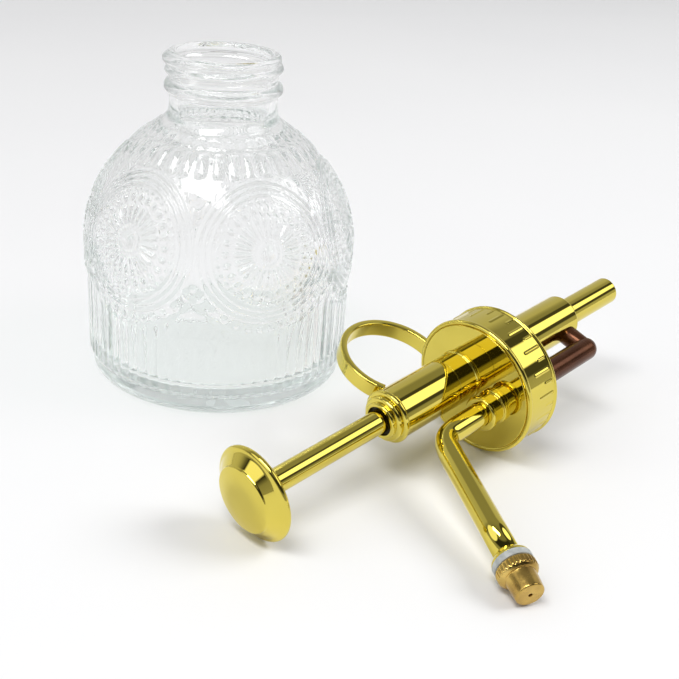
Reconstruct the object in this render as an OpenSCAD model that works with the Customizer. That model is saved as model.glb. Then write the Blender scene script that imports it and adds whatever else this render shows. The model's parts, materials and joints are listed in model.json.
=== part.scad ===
// Pressed-glass plant mister: the bottle stands, its one-hand pump sprayer lies beside it.
// The bottle's base centre is the origin. The pump is drawn along its own axis, with +Z
// towards the thumb knob and +X from the barrel towards the spray pipe, and laid down last.

/* [Bottle] */
// Radius of the fluted lower body
body_r = 39.2; // [36:0.1:42]
// Radius of the belt that carries the medallions
belt_r = 40; // [37:0.1:43]
// Height where the belt begins
belt_z = 32.5; // [28:0.5:36]
// Height of the centre of the shoulder's arc
shoulder_z = 41; // [38:0.5:44]
// Radius of the shoulder's arc
shoulder_arc = 38; // [36:0.5:40]
// Thickness of the glass wall
wall = 3; // [2:0.25:4]
// Thickness of the base
base_t = 7.5; // [5:0.5:10]
// Outer radius of the neck
neck_r = 15.7; // [15:0.1:16.5]
// Radius of the bore of the neck
neck_bore_r = 13.4; // [12.5:0.1:14]
// Height of the lip
lip_z = 97.3; // [92:0.1:100]
// Radius of the thread's crest
thread_r = 17.1; // [16.6:0.1:17.4]
// Pitch of the thread
thread_pitch = 3.2; // [2.5:0.1:4]
// Turns of the thread
thread_turns = 1.3; // [1:0.1:1.4]

/* [Relief] */
// Number of medallions round the belt
medallions = 6; // [4:1:8]
// Height of the centre of each medallion
medallion_z = 50.8; // [46:0.1:54]
// Radius of each medallion
medallion_r = 20; // [16:0.1:20.5]
// Direction of the first medallion
medallion_turn = -3.2; // [-30:0.1:30]
// Height of the relief above the glass
relief = 0.8; // [0.4:0.1:1.2]
// Number of upright ribs round the lower body
ribs = 72; // [36:6:96]
// Gap between the medallions and the tops of the ribs
rib_gap = 3.5; // [2:0.5:6]

/* [Cap] */
// Largest radius of the cap
cap_r = 19.8; // [19:0.1:21]
// Height of the cap
cap_h = 12.4; // [11:0.1:14]
// Radius of the cap's bore
cap_bore_r = 17.6; // [17.4:0.1:18]
// Distance from the cap's axis to the barrel's axis
barrel_off = 5.5; // [5:0.1:6]
// Distance from the cap's axis to the spray pipe's axis
pipe_off = 8; // [7.8:0.1:8.5]
// Number of raised marks round the rim, long and short in turn
marks = 36; // [24:2:48]
// Direction of the first mark
mark_turn = 5.6; // [0:0.1:20]

/* [Pump] */
// Outer radius of the pump cylinder below the cap
cylinder_r = 6.8; // [6:0.1:6.9]
// Bore radius of the pump cylinder
cylinder_bore_r = 5.3; // [5:0.1:5.5]
// How far the cylinder reaches below the cap's top
cylinder_drop = 47.5; // [46:0.1:52]
// Radius of the sleeve above the cap
sleeve_r = 7.1; // [6.9:0.1:7.6]
// Height of the sleeve above the cap's top
sleeve_top = 27.4; // [25:0.1:30]
// Radius of the inlet tube
inlet_r = 4.2; // [3.5:0.1:4.5]
// How far the inlet tube reaches below the cap's top
inlet_drop = 71.5; // [66:0.1:75]
// Radius of the brown transfer pipe
pipe_r = 3.4; // [3.2:0.1:3.6]
// How far the transfer pipe reaches below the cap's top
pipe_drop = 46.2; // [44:0.1:47]
// Radius of the plunger rod
rod_r = 3.2; // [2.8:0.1:3.3]
// Radius of the thumb knob
knob_r = 12.75; // [11:0.05:14]
// Height of the knob's rim above the cap's top
knob_z = 74.2; // [70:0.1:76]

/* [Finger ring] */
// Outer radius of the ring
ring_r = 15.4; // [13:0.1:15.5]
// Width of the band
ring_w = 4.7; // [3:0.1:5]
// Thickness of the band
ring_t = 2; // [1.5:0.1:2.5]
// Height of the ring's centre above the cap's top
ring_z = 12.6; // [12:0.1:14]
// Distance from the barrel's axis to the ring's centre
ring_off = 14.3; // [14:0.1:15]
// Lean of the ring out of the barrel's plane
ring_lean = -6.5; // [-8:0.5:0]

/* [Spray arm] */
// Radius of the spray tube
tube_r = 3.3; // [2.8:0.1:3.3]
// Height of the elbow above the cap's top
elbow_z = 21.2; // [18:0.1:23]
// Radius of the elbow's bend
elbow_bend = 6; // [4:0.1:7]
// Rise of the arm beyond the elbow
arm_rise = 25.4; // [10:0.1:40]
// Swing of the arm out of the barrel and pipe plane
arm_swing = 7.8; // [0:0.1:12]
// Distance from the elbow to the nozzle's tip
arm_l = 53.2; // [52:0.1:56]

/* [Lying pose] */
// Place of the cap on the floor, to the right of the bottle
pump_x = 76.3; // [70:0.1:90]
// Place of the cap on the floor, behind the bottle's axis
pump_y = -44.8; // [-60:0.1:-40]
// Direction in which the knob points
pump_heading = -134; // [-150:0.5:-110]
// Roll of the pump about its own axis
pump_roll = -17.7; // [-25:0.1:-10]

/* [Hidden] */
$fn = 96;
GLASS = [0.82, 0.88, 0.87, 0.35];
GOLD = [0.83, 0.72, 0.27];
BRASS = [0.72, 0.6, 0.32];
BRONZE = [0.3, 0.18, 0.14];
SEAL = [0.62, 0.64, 0.64];
STEEL = [0.75, 0.75, 0.76];
EPS = 0.02;

// Bottle: derived sizes
shoulder_x = belt_r + 0.2 - shoulder_arc;
lip_r = neck_r + 0.4;
neck_z = 81;
collar_bead_z = 87.5;
thread_z = 91.6;
thread_start = 150;
medallion_rings = [20, 17.6, 15.2];
// Pump: derived sizes, heights measured from the cap's top plate
plate_t = 1.2;
plate_z = -0.4;
sleeve_bottom = 6.5;
collar_h = 4.3;
collar_top = sleeve_top + collar_h;
knob_edge = 0.9;
bush_r = rod_r + 0.9;
piston_h = 10;
piston_bottom = sleeve_top - piston_h - 0.1;
rod_bottom = piston_bottom + 6;
inlet_bore_r = 2.6;
ball_r = 1.8;
seat_hole_r = 1.2;
inlet_cage_z = -cylinder_drop - 2.5;
inlet_seat_z = inlet_cage_z - 4;
pipe_bore_r = 2.3;
elbow_port_z = pipe_r - pipe_drop;
outlet_seat_z = elbow_port_z + 5;
outlet_cage_z = outlet_seat_z + 3.9;
outlet_ball_r = 1.7;
socket_h = 5.2;
washer_at = 43;
washer_t = 1.8;
washer_r = 5.1;
knurl_at = washer_at + washer_t;
knurl_t = 2.7;
tip_at = knurl_at + knurl_t;
nipple_r = 2.5;
elbow_turn = 90 - arm_rise;
pump_tilt = atan((knob_r - cap_r - barrel_off * sin(-pump_roll)) / knob_z);
pump_z = cap_r * cos(pump_tilt) + 0.05;

// Lays the pump down: its cap's top goes to (pump_x, pump_y), rim and knob on the floor
module laid() {
    translate([pump_x, pump_y, pump_z])
        rotate([0, 0, pump_heading]) rotate([0, 90 - pump_tilt, 0]) rotate([0, 0, 90 + pump_roll])
            children();
}
module on_barrel() { translate([-barrel_off, 0, 0]) children(); }
module on_pipe() { translate([pipe_off, 0, 0]) children(); }
// The spray arm's own frame: +Z runs from the elbow towards the nozzle
module on_arm() {
    on_pipe() rotate([0, 0, arm_swing]) translate([0, 0, elbow_z]) rotate([0, elbow_turn, 0])
        children();
}
module tube(outer, inner, low, high) {
    translate([0, 0, low]) difference() {
        cylinder(r = outer, h = high - low);
        translate([0, 0, -1]) cylinder(r = inner, h = high - low + 2);
    }
}
// A ring of round section
module bead(ring, section, z) {
    translate([0, 0, z]) rotate_extrude() translate([ring, 0]) circle(r = section, $fn = 32);
}

// Bottle
module bottle_outline(grow, r, belt, arc, neck, top) {
    square([r + grow, belt_z + 1]);
    translate([0, belt_z]) square([belt + grow, shoulder_z - belt_z]);
    intersection() {
        translate([shoulder_x, shoulder_z]) circle(r = arc + grow);
        translate([0, shoulder_z]) square([belt + arc, 34]);
    }
    polygon([[0, 70], [arc - 12.6 + grow, 70], [arc - 17.6 + grow, 75.2], [neck + 2 + grow, 78.2],
        [neck, neck_z], [0, neck_z]]);
    square([neck, top]);
}
module lip_outline() {
    translate([0, lip_z - 3.4]) square([lip_r, 2.6]);
    translate([lip_r - 1.2, lip_z - 1.2]) circle(r = 1.2, $fn = 32);
    translate([0, lip_z - 3]) square([lip_r - 1.2, 3]);
    translate([neck_r - 0.3, collar_bead_z]) circle(r = 1.5, $fn = 32);
}
module bottle_hollow() {
    translate([0, base_t]) square([body_r - wall, shoulder_z - base_t]);
    intersection() {
        translate([shoulder_x, shoulder_z]) circle(r = shoulder_arc - wall);
        translate([0, shoulder_z]) square([belt_r, 36]);
    }
    translate([0, base_t]) square([neck_bore_r, lip_z + 1 - base_t]);
}
// One ridge of a helical thread, thinning out at both ends
function thread_height(f) = min(1, f * 8, (1 - f) * 8);
module thread_ridge(root, crest, low, pitch, turns, steps) {
    n = round(steps * turns);
    out = sign(crest - root);
    points = [for (i = [0 : n]) let (a = 360 * turns * i / n, f = i / n,
        h = root + (crest - root) * max(0.02, thread_height(f)), z = low + pitch * turns * f)
        for (q = [[root, -1.2], [h, -0.35], [h, 0.35], [root, 1.2]])
            [q[0] * cos(a), q[0] * sin(a), z + out * q[1]]];
    sides = [for (i = [0 : n - 1]) for (k = [0 : 3])
        [i * 4 + k, i * 4 + (k + 1) % 4, (i + 1) * 4 + (k + 1) % 4, (i + 1) * 4 + k]];
    polyhedron(points, concat([[3, 2, 1, 0]], sides, [[n * 4, n * 4 + 1, n * 4 + 2, n * 4 + 3]]));
}
module medallion(turn) {
    rotate([0, 0, turn]) translate([0, 0, medallion_z]) rotate([0, 90, 0]) {
        for (r = medallion_rings) tube(r, r - 1.1, belt_r / 2, belt_r + 5);
        translate([0, 0, belt_r / 2]) cylinder(r = 3, h = belt_r / 2 + 5);
    }
}
// Top of the rib that stands at an angle from the nearest medallion's axis
function rib_top(turn) = let (side = belt_r * turn * PI / 180, r = medallion_r + rib_gap)
    medallion_z - sqrt(max(0, r * r - side * side));
module bottle() {
    color(GLASS) {
        difference() {
            union() {
                rotate_extrude() difference() {
                    bottle_outline(0, body_r, belt_r, shoulder_arc, neck_r, lip_z - 1);
                    polygon([[body_r - 2.4, -1], [body_r + 2, -1], [body_r + 2, 3.5], [body_r, 3.5]]);
                }
                rotate_extrude() lip_outline();
                intersection() {
                    rotate_extrude()
                        bottle_outline(relief, body_r, belt_r, shoulder_arc, neck_r, lip_z - 1);
                    for (i = [0 : medallions - 1]) medallion(medallion_turn + 360 / medallions * i);
                }
                for (i = [0 : ribs - 1]) let (turn = 360 / ribs * (i + 0.5),
                    near = abs((turn + 180 / medallions) % (360 / medallions) - 180 / medallions))
                    rotate([0, 0, turn + medallion_turn]) translate([body_r - 0.6, 0, base_t])
                        cylinder(r = 1.1, h = rib_top(near) - base_t, $fn = 16);
                rotate([0, 0, thread_start])
                    thread_ridge(neck_r - 0.4, thread_r, thread_z, thread_pitch, thread_turns, 36);
            }
            rotate_extrude() bottle_hollow();
        }
    }
}

// Cap
module cap_shell() {
    color(GOLD) laid() {
        difference() {
            union() {
                translate([0, 0, -cap_h]) cylinder(r = cap_r - 0.4, h = cap_h - 0.4);
                tube(cap_r - 0.05, cap_r - 2, -cap_h, -cap_h + 0.8);
                bead(cap_r - 0.7, 0.7, plate_z - 0.75);
                for (i = [0 : marks - 1]) rotate([0, 0, mark_turn + 360 / marks * i])
                    translate([cap_r - 1, -0.35, 1.5 - cap_h]) cube([0.9, 0.7, i % 2 == 0 ? 5.6 : 2.6]);
            }
            translate([0, 0, -cap_h - 1]) cylinder(r = cap_bore_r, h = cap_h + 1 - plate_t + plate_z);
            tube(cap_r - 1, cap_r - 1.4, plate_z - 0.35, plate_z + 1);
            on_barrel() translate([0, 0, -5]) cylinder(r = cylinder_r, h = 10);
            on_pipe() translate([0, 0, -5]) cylinder(r = pipe_r, h = 10);
        }
        thread_ridge(cap_bore_r + 0.3, cap_bore_r - 0.8, 2.2 - cap_h, thread_pitch, 1.2, 36);
    }
}
module cap_gasket() {
    color(SEAL) laid() difference() {
        tube(cap_bore_r - 0.1, 11.9, plate_z - plate_t - 1.2, plate_z - plate_t);
        on_barrel() translate([0, 0, -9]) cylinder(r = cylinder_r + 0.1, h = 10);
        on_pipe() translate([0, 0, -9]) cylinder(r = pipe_r + 0.1, h = 10);
    }
}

// Barrel above the cap
module barrel_boss() {
    color(GOLD) laid() on_barrel() rotate_extrude() difference() {
        union() {
            translate([0, plate_z]) square([sleeve_r, sleeve_bottom - plate_z]);
            translate([0, plate_z]) square([sleeve_r + 0.35, 0.5]);
            translate([sleeve_r + 0.1, plate_z + 0.5]) circle(r = 0.25, $fn = 24);
        }
        translate([-1, plate_z - 1]) square([cylinder_r + 1, sleeve_bottom - plate_z + 2]);
    }
}
module barrel_sleeve() {
    color(GOLD) laid() on_barrel() tube(sleeve_r, cylinder_r, sleeve_bottom, sleeve_top);
}
module barrel_collar() {
    color(GOLD) laid() on_barrel() rotate_extrude() difference() {
        union() {
            translate([0, sleeve_top]) square([sleeve_r + 0.1, 1.6]);
            translate([sleeve_r - 0.4, sleeve_top + 0.9]) circle(r = 0.9, $fn = 32);
            translate([0, sleeve_top + 1.4]) square([5.8, 1.6]);
            translate([5.8, sleeve_top + 2.2]) circle(r = 0.75, $fn = 32);
            translate([0, sleeve_top + 2.8]) square([4.8, collar_h - 2.8]);
            translate([4.6, collar_top - 0.7]) circle(r = 0.7, $fn = 32);
        }
        translate([-1, sleeve_top - 1]) square([bush_r + 1, 10]);
    }
}
module rod_bush() {
    color([0.12, 0.11, 0.1]) laid() on_barrel() tube(bush_r, rod_r + 0.05, sleeve_top, collar_top - 0.6);
}
module finger_ring() {
    color(GOLD) laid() difference() {
        on_barrel() translate([-ring_off, 0, ring_z]) rotate([ring_lean - 90, 0, 0])
            rotate_extrude(angle = 220, start = 85) translate([ring_r - ring_t, -ring_w / 2]) {
                translate([0, 0.5]) square([ring_t, ring_w - 1]);
                translate([0.5, 0]) square([ring_t - 1, ring_w]);
                for (x = [0.5, ring_t - 0.5]) for (y = [0.5, ring_w - 0.5])
                    translate([x, y]) circle(r = 0.5, $fn = 24);
            }
        on_barrel() translate([0, 0, -5]) cylinder(r = sleeve_r, h = 40);
        translate([0, 0, -20]) cylinder(r = cap_r, h = 21);
    }
}

// Pump below the cap
module pump_cylinder() {
    color(GOLD) laid() difference() {
        on_barrel() tube(cylinder_r, cylinder_bore_r, -cylinder_drop, sleeve_top);
        on_barrel() translate([0, 0, elbow_port_z]) rotate([0, 90, 0]) cylinder(r = 1.4, h = 10);
    }
}
module inlet_tube() {
    color(GOLD) laid() on_barrel() difference() {
        union() {
            translate([0, 0, -inlet_drop]) cylinder(r = inlet_r, h = inlet_drop - cylinder_drop + 1);
            translate([0, 0, -cylinder_drop]) cylinder(r = cylinder_bore_r, h = 1.5);
        }
        translate([0, 0, -inlet_drop - 1]) cylinder(r = inlet_bore_r, h = 40);
    }
}
module inlet_seat() {
    color(BRASS) laid() on_barrel()
        tube(inlet_bore_r, seat_hole_r, inlet_seat_z - 1.5, inlet_seat_z);
}
// The ball hangs against its cage, because the lying pump leans knob-down
function ball_reach(r) = sqrt(r * r - seat_hole_r * seat_hole_r);
module inlet_ball() {
    color(STEEL) laid() on_barrel()
        translate([0, 0, inlet_cage_z - ball_reach(ball_r) - EPS]) sphere(r = ball_r);
}
module inlet_cage() {
    color(BRASS) laid() on_barrel()
        tube(inlet_bore_r, seat_hole_r, inlet_cage_z, -cylinder_drop + 1.5);
}
module pipe_outside() {
    translate([0, 0, elbow_port_z]) {
        cylinder(r = pipe_r, h = plate_z - elbow_port_z);
        sphere(r = pipe_r);
    }
}
module transfer_pipe() {
    color(BRONZE) laid() on_pipe() difference() {
        pipe_outside();
        translate([0, 0, 2 - pipe_drop]) cylinder(r = pipe_bore_r, h = pipe_drop + 2);
        translate([0, 0, elbow_port_z]) rotate([0, -90, 0]) cylinder(r = 1.4, h = 10);
    }
}
module transfer_elbow() {
    color(BRONZE) laid() difference() {
        on_barrel() translate([0, 0, elbow_port_z]) rotate([0, 90, 0])
            cylinder(r = pipe_r - 0.4, h = barrel_off + pipe_off);
        on_barrel() translate([0, 0, -60]) cylinder(r = cylinder_r, h = 40);
        on_pipe() pipe_outside();
        on_barrel() translate([0, 0, elbow_port_z]) rotate([0, 90, 0]) cylinder(r = 1.4, h = 30);
    }
}
module outlet_seat() {
    color(BRASS) laid() on_pipe()
        tube(pipe_bore_r, seat_hole_r, outlet_seat_z - 1.5, outlet_seat_z);
}
module outlet_ball() {
    color(STEEL) laid() on_pipe()
        translate([0, 0, outlet_cage_z - ball_reach(outlet_ball_r) - EPS]) sphere(r = outlet_ball_r);
}
module outlet_cage() {
    color(BRASS) laid() on_pipe()
        tube(pipe_bore_r, seat_hole_r, outlet_cage_z, outlet_cage_z + 1.5);
}

// Spray arm
module spray_socket() {
    color(GOLD) laid() on_pipe() difference() {
        union() {
            translate([0, 0, plate_z]) cylinder(r = 4.4, h = socket_h - 1 - plate_z);
            translate([0, 0, plate_z]) cylinder(r = 5, h = 0.9);
            bead(4.6, 0.4, 0.5);
        }
        translate([0, 0, -2]) cylinder(r = tube_r, h = 12);
    }
}
module socket_ring() {
    color(GOLD) laid() on_pipe() difference() {
        union() {
            bead(4.2, 0.8, socket_h - 0.2);
            translate([0, 0, socket_h - 1]) cylinder(r = 4.2, h = 1.6);
        }
        translate([0, 0, socket_h - 3]) cylinder(r = tube_r, h = 6);
        translate([0, 0, socket_h - 3]) cylinder(r = 6, h = 2);
    }
}
// A torus section that turns from straight up to the arm's direction, run on at both ends
module bend(r, over) {
    translate([elbow_bend, 0, 0]) rotate([90, 0, 0])
        rotate_extrude(angle = elbow_turn + 2 * over, start = 180 - elbow_turn - over)
            translate([elbow_bend, 0]) circle(r = r);
}
// The bend is brazed between two straight lengths, with a hairline at each joint
module spray_tube() {
    inner_r = tube_r - 0.9;
    cut = elbow_bend * tan(elbow_turn / 2);
    color(GOLD) laid() {
        on_pipe() rotate([0, 0, arm_swing]) {
            tube(tube_r, inner_r, plate_z, elbow_z - cut - EPS);
            translate([0, 0, elbow_z - cut]) difference() {
                bend(tube_r, 0);
                bend(inner_r, 2);
            }
        }
        on_arm() tube(tube_r, inner_r, cut + EPS, washer_at - 1);
    }
}
module nozzle_seat() {
    color(GOLD) laid() on_arm() difference() {
        union() {
            translate([0, 0, washer_at - 1.9]) cylinder(r1 = 3.8, r2 = 5, h = 1.4);
            translate([0, 0, washer_at - 0.5]) cylinder(r = 5, h = 0.5);
            translate([0, 0, washer_at - 0.5]) cylinder(r = nipple_r, h = 5);
        }
        translate([0, 0, washer_at - 3]) cylinder(r = tube_r, h = 2);
        translate([0, 0, washer_at - 4]) cylinder(r = 1.2, h = 12);
    }
}
module nozzle_washer() {
    color(SEAL) laid() on_arm() tube(washer_r, nipple_r, washer_at, knurl_at - EPS);
}
module spray_nozzle() {
    color(BRASS) laid() on_arm() difference() {
        union() {
            translate([0, 0, knurl_at]) cylinder(r = 4.9, h = knurl_t);
            for (i = [0 : 29]) rotate([0, 0, i * 12]) translate([4.8, 0, knurl_at + 0.2])
                cylinder(r = 0.35, h = knurl_t - 0.7, $fn = 12);
            translate([0, 0, tip_at]) cylinder(r1 = 4.9, r2 = 4.2, h = 0.5);
            translate([0, 0, tip_at]) cylinder(r1 = 3.95, r2 = 3.6, h = arm_l - tip_at);
        }
        translate([0, 0, knurl_at - 1]) cylinder(r = nipple_r + 0.05, h = 4.6);
        translate([0, 0, knurl_at]) cylinder(r = 1.6, h = arm_l - knurl_at - 1.2);
        translate([0, 0, knurl_at]) cylinder(r = 0.4, h = 20, $fn = 24);
    }
}
module swirl_core() {
    color(BRASS) laid() on_arm() difference() {
        translate([0, 0, knurl_at + 4]) cylinder(r = 1.6, h = 2.6);
        for (i = [0 : 1]) rotate([0, 0, i * 180]) translate([1.1, -0.3, knurl_at + 3])
            cube([1, 0.6, 5]);
    }
}

// Plunger
module plunger_rod() {
    color(GOLD) laid() on_barrel() translate([0, 0, rod_bottom])
        cylinder(r = rod_r, h = knob_z - 1 - rod_bottom);
}
module thumb_knob() {
    color(GOLD) laid() on_barrel() rotate_extrude() difference() {
        union() {
            translate([0, knob_z - 2.6]) square([4.6, 2.6]);
            polygon([[0, knob_z - knob_edge], [knob_r - knob_edge, knob_z - knob_edge],
                [knob_r - knob_edge, knob_z + knob_edge], [8.6, knob_z + 3.7],
                [8.2, knob_z + 4.4], [0, knob_z + 5]]);
            translate([knob_r - knob_edge, knob_z]) circle(r = knob_edge, $fn = 48);
        }
        translate([-1, knob_z - 6]) square([rod_r + 1, 5]);
    }
}
module piston_head() {
    color(BRASS) laid() on_barrel() difference() {
        translate([0, 0, piston_bottom]) cylinder(r = cylinder_bore_r - 0.1, h = piston_h);
        translate([0, 0, piston_bottom + 2]) difference() {
            cylinder(r = cylinder_bore_r + 1, h = 3);
            cylinder(r = 4.2, h = 3);
        }
        translate([0, 0, rod_bottom]) cylinder(r = rod_r, h = piston_h);
    }
}
module piston_seal() {
    color([0.2, 0.18, 0.17]) laid() on_barrel()
        tube(cylinder_bore_r - 0.03, 4.2, piston_bottom + 2, piston_bottom + 5);
}
// A round-wire coil spring between the bottom of the cylinder and the piston
module return_spring() {
    wire = 0.45;
    coil = 4.4;
    low = 1.5 - cylinder_drop + wire + EPS;
    high = piston_bottom - wire - EPS;
    turns = 11;
    steps = 20 * turns;
    points = [for (i = [0 : steps]) let (a = 360 * turns * i / steps, z = low + (high - low) * i / steps)
        for (k = [0 : 5]) let (r = coil + wire * cos(60 * k))
            [r * cos(a), r * sin(a), z + wire * sin(60 * k)]];
    sides = [for (i = [0 : steps - 1]) for (k = [0 : 5])
        [i * 6 + k, i * 6 + (k + 1) % 6, (i + 1) * 6 + (k + 1) % 6, (i + 1) * 6 + k]];
    faces = concat([[5, 4, 3, 2, 1, 0]], sides, [[for (k = [0 : 5]) steps * 6 + k]]);
    color(STEEL) laid() on_barrel() polyhedron(points, faces);
}

bottle();
cap_shell();
cap_gasket();
barrel_boss();
barrel_sleeve();
barrel_collar();
rod_bush();
finger_ring();
pump_cylinder();
inlet_tube();
inlet_seat();
inlet_ball();
inlet_cage();
transfer_pipe();
transfer_elbow();
outlet_seat();
outlet_ball();
outlet_cage();
spray_socket();
socket_ring();
spray_tube();
nozzle_seat();
nozzle_washer();
spray_nozzle();
swirl_core();
plunger_rod();
thumb_knob();
piston_head();
piston_seal();
return_spring();
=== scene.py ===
"""A pressed-glass plant mister and its gold-plated pump sprayer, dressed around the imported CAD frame.

Outlines are in millimetres, as (radius, height) pairs. The pump's pieces are drawn in the pump's own
frame: z runs from the cap towards the thumb knob, x from the barrel towards the spray pipe.
"""
import json
import math

import bpy
import numpy as np
from mathutils import Matrix, Vector


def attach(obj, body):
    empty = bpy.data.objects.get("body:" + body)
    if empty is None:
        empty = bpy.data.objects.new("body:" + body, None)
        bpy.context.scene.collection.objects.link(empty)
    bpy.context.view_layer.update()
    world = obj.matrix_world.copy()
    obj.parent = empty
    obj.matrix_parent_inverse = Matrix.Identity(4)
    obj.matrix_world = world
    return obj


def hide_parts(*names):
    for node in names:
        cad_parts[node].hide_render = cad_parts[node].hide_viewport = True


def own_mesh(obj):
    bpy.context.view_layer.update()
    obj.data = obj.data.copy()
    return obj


MM = 0.001
TURN = 2 * math.pi
AXIS_R = 1e-6  # a point nearer to the axis than this is on it

# Bottle: the medallions and ribs are laid out round BELT_R, and no relief goes past WIDEST_R
BELT_R, WIDEST_R = 40.0, 40.75
MEDALLIONS = 6
MEDALLION_Z = 50.8
MEDALLION_TURN = math.radians(-3.2)
MEDALLION_RINGS, MEDALLION_R = (16.4, 18.3, 20.2), 22
PETALS = 24
BEADS = 36
RIBS = 72
RIB_FOOT = (6.6, 8.2)
RIB_TOP = 24.8
RIB_BEADS = 22.6
PENDANT_Z = 39.6
SHOULDER_PETALS, SHOULDER_BEADS = 36, 22.2
SHOULDER_R, SHOULDER_Z, OUTER_ARC_R, INNER_ARC_R = 2.2, 41, 38, 35
RELIEF_TOP, THREAD_LOW = 79, 88
LIP_Z, NECK_R, BORE_R = 97.2, 15.6, 13.4

# Thread: where it starts, and the height and half width of its ridge on the neck and in the cap
THREAD_START = math.radians(150)
THREAD_Z, THREAD_PITCH, THREAD_TURNS, CAP_THREAD_TURNS = 91.6, 3.2, 1.3, 1.2
NECK_RIDGE, CAP_RIDGE, CAP_THREAD_RISE = (1.35, 1.5), (0.8, 1.2), 2.2

# Pump, measured from the top of the cap; the cap's marks and its thread rise from its mouth
BARREL_OFF, PIPE_OFF = 5.5, 8.0
ELBOW_Z, ELBOW_TURN, ELBOW_BEND = 21.2, math.radians(64.6), 6.0
CAP_R, CAP_H, CAP_BORE_R, CAP_MARKS = 19.8, 12.4, 17.6, 36
MARK_TURN, MARK_RISE, MARK_LONG, MARK_SHORT = math.radians(5.6), 1.75, 5.3, 2.3
MARK_T, MARK_EDGE = 0.19, (0.14, 0.5)
PLATE_R, PLATE_T, PLATE_Z = 18.4, 1.2, -0.4
CYLINDER_R, CYLINDER_BORE_R, CYLINDER_DROP = 6.8, 5.3, 47.5
SLEEVE_R, SLEEVE_LOW, SLEEVE_TOP = 7.1, 6.5, 27.4
INLET_R, INLET_BORE_R, INLET_DROP = 4.2, 2.6, 71.5
ROD_R, ROD_LOW, KNOB_R, KNOB_Z, KNOB_EDGE = 3.2, 23.3, 12.75, 74.2, 0.9
RING_R, RING_W, RING_T, RING_Z, RING_OFF = 15.4, 4.7, 2.0, 12.6, 14.3
RING_LEAN, RING_ENDS = math.radians(-6.5), (86, 304)
SPRING_R, SPRING_WIRE, SPRING_TURNS, SPRING_LOW, SPRING_TOP = 4.4, 0.43, 11, -45.95, 17.26
PIPE_R, PIPE_BORE_R, PIPE_DROP, TUBE_R = 3.4, 2.3, 46.2, 3.3
BEND_RUN, BEND_FLAT = 3.5, 0.15
SOCKET_R, SOCKET_TOP, SOCKET_RING_TOP = 5.0, 4.2, 5.8

# Nozzle, measured along the arm from the elbow
WASHER_AT, WASHER_T, WASHER_R, KNURL_T, ARM_L = 43.0, 1.8, 5.1, 2.7, 53.2
SPIGOT_R, SPIGOT_BORE_R = 2.5, 1.2
GRIP_R, KNURLS, KNURL_DEPTH = 4.9, 30, 0.26
KNURL_AT = WASHER_AT + WASHER_T
TIP_AT = KNURL_AT + KNURL_T

# Studio: brightness by the sine of the elevation, on the camera's side and behind, and where one turns into
# the other; patches of the sky, as way, cosines of their soft edge and brightness; and the white paper seen
# through the glass
FRONT_BANDS = ((0.0, 0.4), (0.2, 0.32), (0.3, 0.03), (0.66, 0.03), (0.75, 0.25), (1.0, 0.22))
BACK_BANDS = ((0.0, 0.66), (0.66, 0.58), (0.76, 0.3), (1.0, 0.32))
BACK_EDGE = (-0.15, 0.25)
BLACK_FLAG = ((0.74, 0.02, 0.672), (0.87, 0.89), 0.07)
RIGHT_SOFTBOX = ((0.74, 0.02, 0.672), (0.955, 0.966), 1.9)
LEFT_SOFTBOX = ((-0.68, -0.40, 0.615), (0.905, 0.925), 1.35)
PAPER_SHARE, PAPER_LEVEL = 0.6, 0.92
FLOOR_HALF = 3000.0
BOUNCES, GLOSSY_BOUNCES = 24, 16

# Lamps, as place, size and power; they point at LAMP_TARGET
FRONT_LAMP = ((-0.3, -0.62, 1.5), (1.0, 0.4), 13)
RIGHT_LAMP = ((1.2, 0.1, 1.05), (0.8, 0.8), 9.5)
LAMP_TARGET = (0.04, -0.05, 0)

CAMERA_PLACE = (0.03866, -0.31484, 0.16105)
CAMERA_PITCH, CAMERA_ROLL = math.radians(25.64), math.radians(4.40)
CAMERA_LENS, CAMERA_SENSOR = 58.32, 36

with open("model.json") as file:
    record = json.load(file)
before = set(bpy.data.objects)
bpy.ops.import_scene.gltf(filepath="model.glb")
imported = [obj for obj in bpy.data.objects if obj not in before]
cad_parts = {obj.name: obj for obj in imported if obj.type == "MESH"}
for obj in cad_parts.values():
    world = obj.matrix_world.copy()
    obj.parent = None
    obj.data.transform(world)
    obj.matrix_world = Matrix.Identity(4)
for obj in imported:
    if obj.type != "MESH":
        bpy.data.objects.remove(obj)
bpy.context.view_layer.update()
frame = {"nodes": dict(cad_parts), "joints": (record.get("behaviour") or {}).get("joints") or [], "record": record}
RECORD = frame["record"]
JOINTS = {joint["name"]: joint for joint in frame["joints"]}
MOUNTS = {mount["name"]: mount for mount in RECORD["mounts"]}


# --- frames -------------------------------------------------------------------------------------

def frame_matrix(x, y, z, origin):
    """The matrix whose axes are x, y and z and whose origin is given, in metres."""
    matrix = Matrix((x, y, z)).transposed().to_4x4()
    matrix.translation = origin
    return matrix


def pump_frame():
    """The pump's own frame, from the plunger's axis, the barrel's inlet and the arm's elbow."""
    z = -Vector(JOINTS["plunger_press"]["axis"]).normalized()
    barrel = Vector(MOUNTS["inlet"]["pos_m"])
    elbow = Vector(JOINTS["nozzle_turn"]["pos_m"])
    across = elbow - barrel
    x = (across - z * across.dot(z)).normalized()
    return frame_matrix(x, z.cross(x), z, elbow - (x * PIPE_OFF + z * ELBOW_Z) * MM)


def arm_frame():
    """The spray arm's own frame: its z runs from the elbow to the nozzle."""
    z = Vector(JOINTS["nozzle_turn"]["axis"]).normalized()
    up = PUMP.to_3x3().col[2]
    y = up.cross(z).normalized()
    return frame_matrix(y.cross(z), y, z, Vector(JOINTS["nozzle_turn"]["pos_m"]))


def moved(matrix, x=0.0, y=0.0, z=0.0):
    """A frame shifted along its own axes, in millimetres."""
    return matrix @ Matrix.Translation(Vector((x, y, z)) * MM)


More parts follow.
